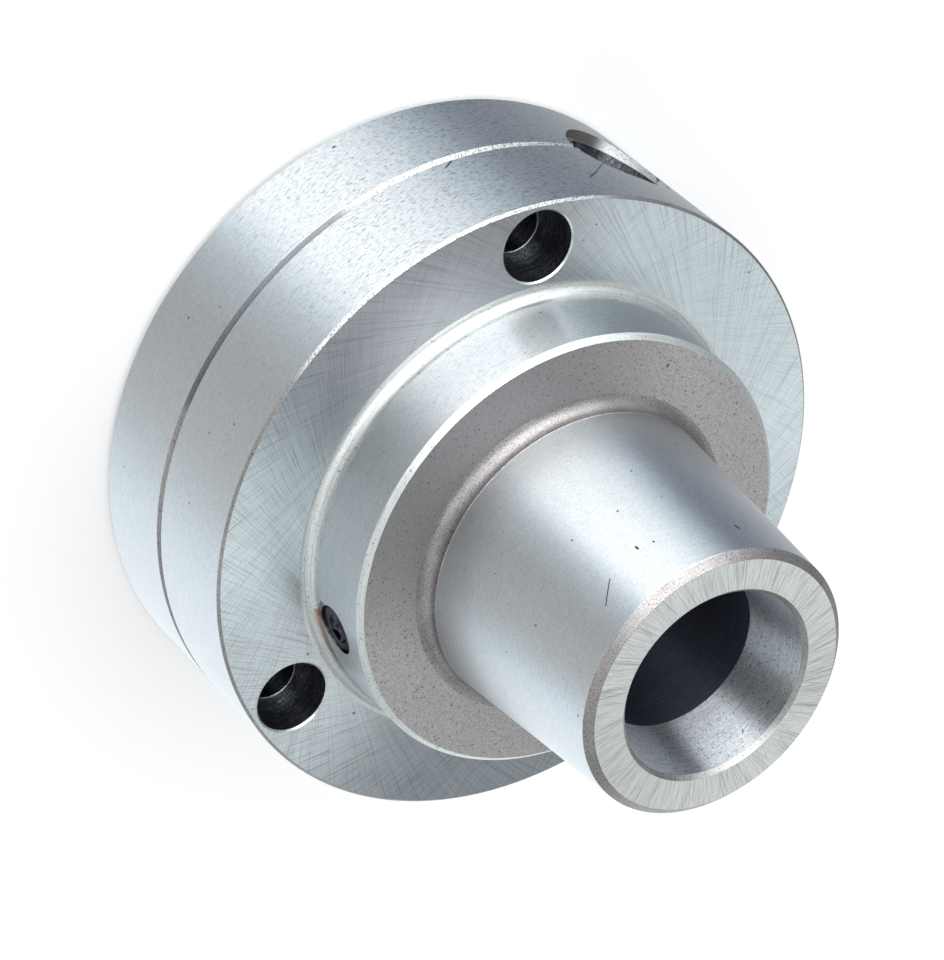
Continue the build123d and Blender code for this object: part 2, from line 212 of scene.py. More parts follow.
def frontCorners():
    soft = flange["edgeRound"]
    rim = flange["rimRadius"]
    chamfer = flange["edgeChamfer"]
    landZ = hub["topZ"] + nose["fillet"] + nose["land"]
    step = nose["step"]
    seatRadius = nose["mouthRadius"] - nose["mouthChamfer"]
    seatZ = nose["tipZ"] - nose["mouthChamfer"]
    seatLength = (seatRadius - nose["boreRadius"]) / math.tan(math.radians(nose["seatAngle"]))
    tipZ = nose["tipZ"]
    return [
        (flange["innerRadius"], flange["partingZ"], 0, "bore"),
        (rim - flange["partingChamfer"], flange["partingZ"], soft, "edge"),
        (rim, flange["partingZ"] + flange["partingChamfer"], soft, "ground"),
        (rim, flange["faceZ"] - chamfer, soft, "edge"),
        (rim - chamfer, flange["faceZ"], soft, "flangeFace"),
        (hub["radius"], flange["faceZ"], hub["coveRadius"], "cove/hubWall"),
        (hub["radius"], hub["topZ"] - hub["chamfer"], soft, "cove"),
        (hub["radius"] - hub["chamfer"], hub["topZ"], soft, "turned"),
        (noseRadius(hub["topZ"]) + step, hub["topZ"], nose["fillet"], "edge/edge"),
        (noseRadius(landZ) + step, landZ, 0, "edge"),
        (noseRadius(landZ + step), landZ + step, 0, "ground"),
        (noseRadius(tipZ - nose["tipChamfer"]), tipZ - nose["tipChamfer"], soft, "edge"),
        (noseRadius(tipZ) - nose["tipChamfer"], tipZ, soft, "noseEnd"),
        (nose["mouthRadius"], tipZ, soft, "edge"),
        (seatRadius, seatZ, soft, "seat"),
        (nose["boreRadius"], seatZ - seatLength, 0, "bore"),
        (nose["boreRadius"], nose["reliefZ"], 0, "bore"),
        (nose["reliefRadius"], nose["reliefZ"], 0, "bore"),
        (nose["reliefRadius"], bearingRoom["ringTopZ"], 0, "bore"),
        (bearingRoom["sleeveRadius"], bearingRoom["ringTopZ"], 0, "bore"),
        (bearingRoom["sleeveRadius"], bearingRoom["bearingTopZ"], 0, "bore"),
        (bearingRoom["bearingRadius"], bearingRoom["bearingTopZ"], 0, "bore"),
        (bearingRoom["bearingRadius"], flange["pocketZ"], 0, "bore"),
        (flange["innerRadius"], flange["pocketZ"], 0, "bore"),
    ]


def rearCorners():
    soft = flange["edgeRound"]
    rim = flange["rimRadius"]
    chamfer = flange["edgeChamfer"]
    return [
        (register["radius"] + register["chamfer"], 0, soft, "back"),
        (rim - chamfer, 0, soft, "edge"),
        (rim, chamfer, soft, "ground"),
        (rim, flange["partingZ"] - flange["partingChamfer"], soft, "edge"),
        (rim - flange["partingChamfer"], flange["partingZ"], soft, "edge"),
        (bearingRoom["sleeveRadius"], flange["partingZ"], 0, "bore"),
        (bearingRoom["sleeveRadius"], register["lipZ"], 0, "seat"),
        (register["openingRadius"], register["lipZ"], 0, "seat"),
        (register["openingRadius"], register["depth"], soft, "back"),
        (register["radius"], register["depth"], 0, "seat"),
        (register["radius"], register["chamfer"], soft, "edge"),
    ]


def drill(bm, holes, steps, count):
    # the same cutter at each angle of a circle of holes; a step is (radius, height, zone)
    for angle in holes["angles"]:
        rod(bm, Matrix.Translation(polar(holes["circle"], angle)), steps, bodyZones, count)


def straight(radius, start, end, zone="hole"):
    return [(radius, start, zone), (radius, end, zone)]


def drillPinionHole(bm):
    p = pinionHole
    steps = straight(p["headRadius"], p["headStart"], p["headEnd"], "bore")
    steps += straight(p["journalRadius"], p["headEnd"], p["collarStart"], "bore")
    steps += straight(p["collarRadius"], p["collarStart"], p["collarEnd"], "bore")
    steps += [(p["journalRadius"], p["collarEnd"], "hole"), (p["journalRadius"], p["spotFloor"], "edge")]
    steps += straight(p["spotRadius"], p["spotFloor"], flange["rimRadius"] + past, "spot")
    rod(bm, axisAlong(flange["partingZ"], (1, 0, 0)), steps, bodyZones, sides["pinionHole"])


def buildFrontBody(finishes):
    bm = bmesh.new()
    turned(bm, outline(frontCorners()), bodyZones)
    body = newObject("frontBody", meshFrom(bm, "frontBody", finishes))
    bm = bmesh.new()
    face = flange["faceZ"]
    start = flange["partingZ"] - past
    m = mountHoles
    drill(bm, m, [
        (m["radius"], start, "hole"), (m["radius"], m["floorZ"] - m["floorChamfer"], "edge"),
        (m["radius"] + m["floorChamfer"], m["floorZ"], "hole"), (m["headRadius"], m["floorZ"], "hole"),
        (m["headRadius"], face - m["chamfer"], "cove"), (m["headRadius"] + m["chamfer"], face, "cove"),
        (m["headRadius"] + m["chamfer"], face + past, "cove")], sides["hole"])
    s = screwHoles
    drill(bm, s, straight(s["threadRadius"], start, s["threadEndZ"]), sides["thin"])
    d = dowelHoles
    drill(bm, d, straight(d["radius"], start, flange["partingZ"] + d["length"] / 2), sides["thin"])
    drillPinionHole(bm)
    k = keyHole
    rod(bm, axisAlong(k["height"], polar(1, k["angle"])), [
        (k["pinRadius"], k["pinStart"], "bore"), (k["pinRadius"], k["screwSeat"], "hole"),
        *straight(k["screwRadius"], k["screwSeat"], k["end"])], bodyZones, sides["screw"])
    cutFrom(body, meshFrom(bm, "frontCutter", finishes))
    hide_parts("front_body")
    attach(body, "chuck_body")
    print("front body", len(body.data.polygons), "faces")


def buildRearBody(finishes):
    bm = bmesh.new()
    turned(bm, outline(rearCorners()), bodyZones)
    body = newObject("rearBody", meshFrom(bm, "rearBody", finishes))
    bm = bmesh.new()
    top = flange["partingZ"] + past
    m = mountHoles
    drill(bm, m, straight(m["radius"], -past, top), sides["hole"])
    s = screwHoles
    head = straight(s["headRadius"], -past, s["headDepth"])
    drill(bm, s, head + straight(s["radius"], s["headDepth"], top), sides["screw"])
    d = dowelHoles
    drill(bm, d, straight(d["radius"], flange["partingZ"] - d["length"] / 2, top), sides["thin"])
    drillPinionHole(bm)
    cutFrom(body, meshFrom(bm, "rearCutter", finishes))
    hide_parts("rear_body")
    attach(body, "chuck_body")
    print("rear body", len(body.data.polygons), "faces")


# Shading: sizes in the groups are in millimetres, on Object coordinates

class Wiring:
    # short ways to add and join the nodes of one tree
    def __init__(self, tree):
        self.tree = tree

    def add(self, kind, **settings):
        node = self.tree.nodes.new(kind)
        for name, value in settings.items():
            setattr(node, name, value)
        return node

    def join(self, value, socket):
        # a plain colour is given as three numbers
        if isinstance(value, bpy.types.NodeSocket):
            self.tree.links.new(value, socket)
        elif socket.type == "RGBA":
            socket.default_value = (*value, 1)
        else:
            socket.default_value = value

    def joinAll(self, values, sockets):
        for value, socket in zip(values, sockets):
            self.join(value, socket)

    def math(self, operation, a, b=0.0, c=0.0, clamp=False):
        node = self.add("ShaderNodeMath", operation=operation, use_clamp=clamp)
        self.joinAll((a, b, c), node.inputs)
        return node.outputs[0]

    def plus(self, a, b):
        return self.math("ADD", a, b)

    def minus(self, a, b):
        return self.math("SUBTRACT", a, b)

    def times(self, a, b):
        return self.math("MULTIPLY", a, b)

    def divided(self, a, b):
        return self.math("DIVIDE", a, b)

    def vector(self, operation, a, b=(0, 0, 0), scale=None):
        node = self.add("ShaderNodeVectorMath", operation=operation)
        self.join(a, node.inputs[0])
        if scale is None:
            self.join(b, node.inputs[1])
        else:
            self.join(scale, node.inputs["Scale"])
        return node.outputs["Value" if operation in ("DISTANCE", "DOT_PRODUCT") else "Vector"]

    def combine(self, x, y, z):
        node = self.add("ShaderNodeCombineXYZ")
        self.joinAll((x, y, z), node.inputs)
        return node.outputs[0]

    def separate(self, vector):
        node = self.add("ShaderNodeSeparateXYZ")
        self.join(vector, node.inputs[0])
        return node.outputs

    def noise(self, vector, scale=1.0, detail=2.0, rough=0.6):
        node = self.add("ShaderNodeTexNoise")
        for label, value in (("Vector", vector), ("Scale", scale), ("Detail", detail), ("Roughness", rough)):
            self.join(value, node.inputs[label])
        return node.outputs["Fac"]

    def step(self, value, low, high):
        # 0 below low, 1 above high, smooth between
        node = self.add("ShaderNodeMapRange", interpolation_type="SMOOTHSTEP")
        self.joinAll((value, low, high), node.inputs)
        return node.outputs["Result"]

    def blend(self, share, a, b):
        node = self.add("ShaderNodeMix", data_type="RGBA")
        self.join(share, node.inputs["Factor"])
        self.join(a, node.inputs[6])
        self.join(b, node.inputs[7])
        return node.outputs[2]

    def group(self, tree, values=None, **more):
        node = self.add("ShaderNodeGroup", node_tree=tree)
        for label, value in {**(values or {}), **more}.items():
            self.join(value, node.inputs[label])
        return node.outputs


def newGroup(name, inputs, outputs):
    tree = bpy.data.node_groups.new(name, "ShaderNodeTree")
    for label, default in inputs.items():
        socket = tree.interface.new_socket(label, in_out="INPUT", socket_type="NodeSocketFloat")
        socket.default_value = default
    for label in outputs:
        kind = "NodeSocketVector" if label == "Point" else "NodeSocketFloat"
        tree.interface.new_socket(label, in_out="OUTPUT", socket_type=kind)
    w = Wiring(tree)
    return tree, w, w.add("NodeGroupInput").outputs, w.add("NodeGroupOutput").inputs


noiseSpan = (0.34, 0.66)  # the values that most of a noise lies between


def turnedSpaceGroup():
    # where a point stands about the spindle axis
    tree, w, given, out = newGroup("turnedSpace", {}, ["Point", "Radius", "Height", "Angle"])
    point = w.vector("SCALE", w.add("ShaderNodeTexCoord").outputs["Object"], scale=1 / mm)
    x, y, z = w.separate(point)
    w.join(point, out["Point"])
    w.join(w.math("POWER", w.plus(w.times(x, x), w.times(y, y)), 0.5), out["Radius"])
    w.join(z, out["Height"])
    w.join(w.math("ARCTAN2", y, x), out["Angle"])
    return tree


def ringGrainGroup(space):
    # grinding marks that run round the axis; Across is the height on a cylinder, the radius on a face
    tree, w, given, out = newGroup("ringGrain", {"Across": 0.0, "Length": 3.0, "Width": 0.4,
                                                 "Dash Share": 0.2}, ["Height", "Streaks", "Dashes"])
    dashesAway = (31.0, 17.0, 5.0)
    dashLevel = 0.78  # a dash shows where its noise is above this, less its share of the reach
    dashReach = 0.6
    dashFade = 0.08
    x, y, z = w.separate(w.group(space)["Point"])
    grain = w.combine(w.divided(x, given["Length"]), w.divided(y, given["Length"]),
                      w.divided(given["Across"], given["Width"]))
    marks = w.noise(grain, detail=3.0)
    w.join(marks, out["Height"])
    w.join(w.step(marks, *noiseSpan), out["Streaks"])
    dash = w.noise(w.vector("ADD", grain, dashesAway), scale=1.6, detail=0.0, rough=0.5)
    edge = w.minus(dashLevel, w.times(given["Dash Share"], dashReach))
    w.join(w.step(dash, edge, w.plus(edge, dashFade)), out["Dashes"])
    return tree


def wheelGrainGroup(space):
    # straight marks of a grinding wheel on a face: each one touches a circle of radius Touch, on one Side
    tree, w, given, out = newGroup("wheelGrain", {"Touch": 44.0, "Side": 1.0, "Width": 0.25, "Length": 9.0,
                                                  "Shift": 0.0}, ["Height", "Dark Lines", "Light Lines"])
    widthRadius = 44.0  # where the marks are as wide as Width
    place = w.group(space)
    share = w.math("DIVIDE", given["Touch"], place["Radius"], clamp=True)
    turn = w.math("MULTIPLY_ADD", w.math("ARCCOSINE", share), given["Side"], place["Angle"])
    around = w.divided(widthRadius, given["Width"])
    x = w.times(w.math("COSINE", turn), around)
    y = w.times(w.math("SINE", turn), around)
    z = w.plus(w.divided(place["Radius"], given["Length"]), given["Shift"])
    marks = w.noise(w.combine(x, y, z))
    w.join(marks, out["Height"])
    w.join(w.step(marks, low=0.54, high=0.65), out["Dark Lines"])
    w.join(w.minus(1.0, w.step(marks, low=0.32, high=0.45)), out["Light Lines"])
    return tree


def grainsGroup(space):
    # the open grain of a plain turned surface, with its pits
    tree, w, given, out = newGroup("grains", {"Size": 0.4}, ["Height", "Mottle", "Pits"])
    pitsAway = (71.0, 3.0, 29.0)
    place = w.group(space)
    scale = w.divided(1.0, given["Size"])
    grain = w.noise(place["Point"], scale, rough=0.7)
    w.join(grain, out["Height"])
    w.join(w.step(grain, *noiseSpan), out["Mottle"])
    pits = w.noise(w.vector("ADD", place["Point"], pitsAway), scale, detail=0.0, rough=0.5)
    w.join(w.step(pits, low=0.70, high=0.78), out["Pits"])
    return tree


def specksGroup(space):
    # sparse small dark spots
    tree, w, given, out = newGroup("specks", {"Spacing": 2.5, "Size": 0.12, "Share": 0.5}, ["Mask"])
    solidShare = 0.7  # of a speck's size, before its edge fades
    cells = w.add("ShaderNodeTexVoronoi", feature="F1")
    w.join(w.group(space)["Point"], cells.inputs["Vector"])
    w.join(w.divided(1.0, given["Spacing"]), cells.inputs["Scale"])
    split = w.add("ShaderNodeSeparateColor")
    w.join(cells.outputs["Color"], split.inputs[0])
    size = w.times(w.divided(given["Size"], given["Spacing"]), split.outputs[1])
    near = w.minus(1.0, w.step(cells.outputs["Distance"], w.times(size, solidShare), size))
    kept = w.math("LESS_THAN", split.outputs[0], given["Share"])
    w.join(w.times(near, kept), out["Mask"])
    return tree


def markGroup(space):
    # a mark between two places on a surface; Across is the height on a cylinder, the radius on a face
    tree, w, given, out = newGroup("mark", {"Across": 0.0, "Start Angle": 0.0, "Start": 0.0, "End Angle": 0.0,
                                            "End": 0.0, "Width": 0.2, "Fade": 0.1}, ["Mask"])
    shortest = 0.0001  # keeps a dot, which has no length, from dividing by zero
    place = w.group(space)
    toMm = w.divided(place["Radius"], math.degrees(1))
    x = w.minus(w.times(place["Angle"], place["Radius"]), w.times(given["Start Angle"], toMm))
    y = w.minus(given["Across"], given["Start"])
    wobble = w.minus(w.noise(place["Point"], scale=1.2), 0.5)
    here = w.combine(w.math("MULTIPLY_ADD", wobble, given["Width"], x),
                     w.math("MULTIPLY_ADD", wobble, given["Width"], y), 0.0)
    run = w.combine(w.times(w.minus(given["End Angle"], given["Start Angle"]), toMm),
                    w.minus(given["End"], given["Start"]), 0.0)
    length = w.math("MAXIMUM", w.vector("DOT_PRODUCT", run, run), shortest)
    share = w.math("DIVIDE", w.vector("DOT_PRODUCT", here, run), length, clamp=True)
    away = w.vector("DISTANCE", here, w.vector("SCALE", run, scale=share))
    reach = w.times(given["Width"], 0.5)
    w.join(w.minus(1.0, w.step(away, reach, w.plus(reach, given["Fade"]))), out["Mask"])
    return tree


def sectorGroup(space):
    # a soft sector of a face, round a middle angle in degrees
    tree, w, given, out = newGroup("sector", {"Middle": 0.0, "Half Width": 30.0}, ["Mask"])
    turn = w.math("COSINE", w.minus(w.group(space)["Angle"], w.math("RADIANS", given["Middle"])))
    w.join(w.step(turn, w.math("COSINE", w.math("RADIANS", given["Half Width"])), 1.0), out["Mask"])
    return tree


class Finish(Wiring):
    # the material of one finish, from its look; spread draws highlights out, turned by a part of a turn
    def __init__(self, name, look, effects):
        self.look = look
        self.effects = effects
        self.material = bpy.data.materials.new(name)
        self.material.use_nodes = True
        super().__init__(self.material.node_tree)
        self.sockets = self.tree.nodes["Principled BSDF"].inputs
        self.sockets["Metallic"].default_value = look.get("metallic", 1)
        self.sockets["Roughness"].default_value = look["roughness"]
        if "spread" in look:
            self.sockets["Anisotropic"].default_value = look["spread"]
            self.sockets["Anisotropic Rotation"].default_value = look.get("turn", 0.0)
            tangent = self.add("ShaderNodeTangent", direction_type="RADIAL", axis="Z")
            self.join(tangent.outputs[0], self.sockets["Tangent"])

    def effect(self, name, values=None, **more):
        # a shader group, with the look's values that stand under its name or under another one
        return self.group(self.effects[name], self.look.get(values or name), **more)

    def toned(self, a, b):
        # between dark and light, by two masks in the look's shares
        aShare, bShare = self.look["shares"]
        share = self.math("MULTIPLY_ADD", a, aShare, self.times(b, bShare))
        return self.blend(share, self.look["dark"], self.look["light"])

    def over(self, tone, colour, mask, strength):
        return self.blend(self.times(mask, strength), tone, colour)

    def layered(self, tone, layers):
        # a layer is a mask, the name of its colour, and its strength or the name of that
        for mask, colour, strength in layers:
            if isinstance(strength, str):
                strength = self.look["strength"][strength]
            tone = self.over(tone, self.look[colour], mask, strength)
        return tone

    def marked(self, tone, across, marks, colour, strength):
        for angle, start, endAngle, end, width, fade in marks:
            mark = self.group(self.effects["mark"], {
                "Across": across, "Start Angle": angle, "Start": start, "End Angle": endAngle, "End": end,
                "Width": width, "Fade": fade})
            tone = self.over(tone, colour, mark["Mask"], self.look["strength"][strength])
        return tone

    def finished(self, tone, height):
        # the tone is the colour, and the height stands out by the look's depth in millimetres
        self.join(tone, self.sockets["Base Color"])
        bump = self.add("ShaderNodeBump")
        bump.inputs["Strength"].default_value = 1.0
        bump.inputs["Distance"].default_value = self.look["depth"] * mm
        self.join(height, bump.inputs["Height"])
        self.join(bump.outputs[0], self.sockets["Normal"])
        return self.material


# Finishes: what each surface looks like, with the shade and highlights that are painted into some of them,
# and the marks it has gathered, among them a painted shadow line. Values with capitals go to a group's
# sockets of those names. Under "strength" stands how far each layer covers what is under it.
# A mark is (angle, across, angle, across, width, fade), in degrees and millimetres.

groundLook = {"dark": (0.525, 0.545, 0.558), "light": (0.655, 0.685, 0.697), "shares": (0.45, 0.55),
              "dash": (0.15, 0.16, 0.175), "speck": (0.07, 0.065, 0.065), "turn": 0.25, "depth": 0.012,
              "ringGrain": {"Length": 1.7, "Width": 0.22, "Dash Share": 0.29}, "grains": {"Size": 0.3},
              "specks": {"Spacing": 2.6, "Size": 0.3, "Share": 0.16},
              "dashSector": {"Middle": 38, "Half Width": 43}, "dashRadii": (34.0, 60.0),
              "dashes": (0.62, 0.08), "strength": {"pits": 0.3, "specks": 0.8, "marks": 1.0, "stain": 0.8}}
groundZones = {"ground": {"roughness": 0.30, "spread": 0.75}, "hubWall": {"roughness": 0.36, "spread": 0.9}}
groundMarksAndPaintedShadow = [(8.5, 27.0, 13.2, 32.1, 0.1, 0.12), (13.2, 32.1, 15.9, 34.5, 0.22, 0.12),
               (36.9, 22.6, 35.2, 21.3, 0.22, 0.14), (47.7, 2.9, 47.7, 2.9, 0.5, 0.2),
               (92.9, 34.6, 92.9, 34.6, 0.26, 0.12), (109.7, 29.5, 109.7, 29.5, 0.32, 0.12),
               (100, 88.3, 100, 88.3, 0.28, 0.1), (15, 99.1, 15.6, 98.2, 0.28, 0.12),
               (48, 95.9, 48, 95.9, 0.34, 0.12), (49, 85.7, 49, 85.7, 0.3, 0.12),
               (54, 95.3, 54, 94.6, 0.26, 0.12), (69, 96.3, 77, 99.4, 0.1, 0.12),
               # the next four marks are a painted shadow line along the spot face's front edge
               (10.1, 22.1, 8.9, 25.7, 0.3, 0.2), (8.9, 25.7, 7.2, 28.1, 0.5, 0.2),
               (7.2, 28.1, 5.1, 29.8, 0.6, 0.2), (5.1, 29.8, 0, 31.3, 0.6, 0.2),
               (10.3, 18.9, 9.2, 15.6, 0.12, 0.2)]
faceLook = {"colour": (0.55, 0.625, 0.645), "line": (0.33, 0.36, 0.37), "light": (0.71, 0.79, 0.81),
            "speck": (0.10, 0.10, 0.10), "roughness": 0.36, "spread": 0.8, "turn": 0.09, "depth": 0.012,
            "oneWay": {"Touch": 41.0, "Side": -1.0, "Width": 0.18, "Length": 11.0},
            "otherWay": {"Touch": 36.0, "Side": 1.0, "Width": 0.19, "Length": 7.0, "Shift": 40.0},
            "rays": {"Touch": 42.0, "Side": -1.0, "Width": 1.6, "Length": 60.0, "Shift": 9.0},
            "grains": {"Size": 0.36}, "specks": {"Spacing": 5.0, "Size": 0.4, "Share": 0.2},
            "crossedSector": {"Middle": 150, "Half Width": 110}, "crossed": (0.35, 0.35),
            "strength": {"rays": 0.5, "light": 0.5, "lines": 0.6, "marks": 0.85, "pits": 0.35, "specks": 0.7}}
# painted shade: two sectors of the flange face darkened, each given as (sector, strength, colour factor)
facePaintedShades = [({"Middle": 207, "Half Width": 52}, 0.95, (0.41, 0.403, 0.42)),
              ({"Middle": 54, "Half Width": 46}, 0.76, (0.34, 0.27, 0.28))]
faceMarks = [(147.4, 55.4, 147.4, 55.4, 0.5, 0.14), (142.8, 47.6, 142.8, 47.6, 0.4, 0.14),
             (165.6, 48.3, 165.6, 48.3, 0.4, 0.14), (18, 57, 18, 57, 0.3, 0.12)]
turnedLook = {"dark": (0.385, 0.37, 0.368), "light": (0.51, 0.50, 0.498), "paintedShade": (0.23, 0.225, 0.228),
              "pit": (0.13, 0.12, 0.115), "roughness": 0.6, "depth": 0.03, "grains": {"Size": 0.34},
              "specks": {"Spacing": 0.85, "Size": 0.27, "Share": 0.6},
              # painted shade: a darker sector of the hub's turned face
              "paintedShadeSector": {"Middle": 68, "Half Width": 75},
              "strength": {"paintedShade": 0.75, "pits": 0.6, "specks": 0.8, "marks": 1.0}}
turnedMarks = [(2.6, 38.6, 2.6, 38.6, 0.6, 0.14)]
edgeLook = {"dark": (0.22, 0.20, 0.195), "light": (0.43, 0.415, 0.41), "shares": (0.3, 0.6),
            "paintedHighlight": (0.55, 0.56, 0.55), "grooveShade": (0.13, 0.135, 0.155), "pit": (0.10, 0.085, 0.08),
            "roughness": 0.48, "depth": 0.02, "grains": {"Size": 0.3}, "brownScale": 0.09,
            "brownSpan": (0.4, 0.62), "fleckSpan": (0.42, 0.49), "highlightSpan": (0.0, 0.35),
            "grooveShadeSpan": (0.0, 0.4), "highlightRadii": (56.0, 61.0), "frontHeights": (30.0, 31.0),
            "grooveHeights": (15.0, 18.0),
            # painted highlight: the front and groove sectors of the edges turn light
            "grooveHighlight": {"Middle": 28, "Half Width": 27}, "frontHighlight": {"Middle": 48, "Half Width": 36},
            # painted shade: a dark bluish sector in the groove
            "grooveShadeSector": {"Middle": 76, "Half Width": 25},
            "strength": {"grooveShade": 0.85, "flecks": 0.85, "pits": 0.9}}
coveLook = {"dark": (0.51, 0.525, 0.51), "light": (0.67, 0.695, 0.675), "shares": (0.6, 0.4),
            "line": (0.28, 0.25, 0.235), "roughness": 0.42, "spread": 0.5, "depth": 0.008,
            "ringGrain": {"Length": 6.0, "Width": 0.3}, "grains": {"Size": 0.34},
            "specks": {"Spacing": 1.1, "Size": 0.32, "Share": 0.4}, "ringRadii": (46.0, 45.2, 44.3),
            "ringSpan": (0.03, 0.1),
            "strength": {"rings": 0.6, "pits": 0.8, "specks": 0.8, "trail": 0.95, "stain": 0.8}}
stainLook = {"colour": (0.41, 0.26, 0.20), "line": (0.15, 0.115, 0.095)}
stainTrail = [(131.5, 44.0, 144, 44.5, 0.7, 0.8), (144, 44.5, 150, 44.9, 0.3, 0.5)]
stainEdge = [(128.8, 45.9, 131.6, 44.9, 1.7, 0.7), (131.6, 44.6, 135, 45.6, 0.25, 0.3),
             (143, 44.8, 161, 45.0, 0.1, 0.2)]
endLook = {"colour": (0.63, 0.675, 0.655), "line": (0.27, 0.245, 0.235), "light": (0.78, 0.82, 0.80),
           "roughness": 0.34, "spread": 0.6, "turn": 0.03, "depth": 0.008, "grains": {"Size": 0.3},
           "oneWay": {"Touch": 4.0, "Side": -1.0, "Width": 0.36, "Length": 9.0},
           "otherWay": {"Touch": 2.0, "Side": 1.0, "Width": 0.4, "Length": 5.0, "Shift": 12.0},
           "strength": {"light": 0.8, "pits": 0.4, "lines": 0.62, "crossed": 0.35}}
innerLook = {"ringGrain": {"Length": 4.0, "Width": 0.4}, "grains": {"Size": 0.4}, "turn": 0.25}
innerZones = {
    "seat": {"dark": (0.43, 0.45, 0.47), "light": (0.73, 0.76, 0.79), "shares": (0.4, 0.6), "spread": 0.97,
             "pit": (0.10, 0.105, 0.11), "strength": {"pits": 0.8}, "roughness": 0.35, "depth": 0.006},
    # bore and hole are painted far darker than steel: painted shade in the hollows
    "bore": {"dark": (0.075, 0.082, 0.115), "light": (0.115, 0.122, 0.16), "roughness": 0.5, "spread": 0.6,
             "depth": 0.004},
    "hole": {"dark": (0.06, 0.065, 0.078), "light": (0.30, 0.31, 0.33), "roughness": 0.36, "spread": 0.6,
             "depth": 0.012}}
# painted highlight: the spot face is near-white, turning brownish dark where y passes brownFrom
spotPaintedHighlightLook = {"light": (0.95, 0.95, 0.95), "middle": (0.75, 0.76, 0.77), "brown": (0.24, 0.23, 0.225),
            "pit": (0.08, 0.07, 0.065), "grains": {"Size": 0.3}, "brownFrom": (-5.5, -1.5),
            "strength": {"pits": 0.7}, "roughness": 0.45, "depth": 0.008}
# the inside of the hexagon socket: a dull dark bluish tone, not metal
socketInsideLook = {"dark": (0.05, 0.05, 0.085), "light": (0.20, 0.20, 0.29), "grains": {"Size": 0.55},
              "roughness": 0.3, "metallic": 0, "depth": 0.02}
plainLook = {"darker": (0.8, 0.8, 0.82), "lighter": (1.1, 1.1, 1.12), "grains": {"Size": 0.3}, "depth": 0.006}
plainSteels = {"oxide": (0.03, 0.3), "hardened": (0.4, 0.3), "bearing": (0.7, 0.2), "pressed": (0.5, 0.4)}


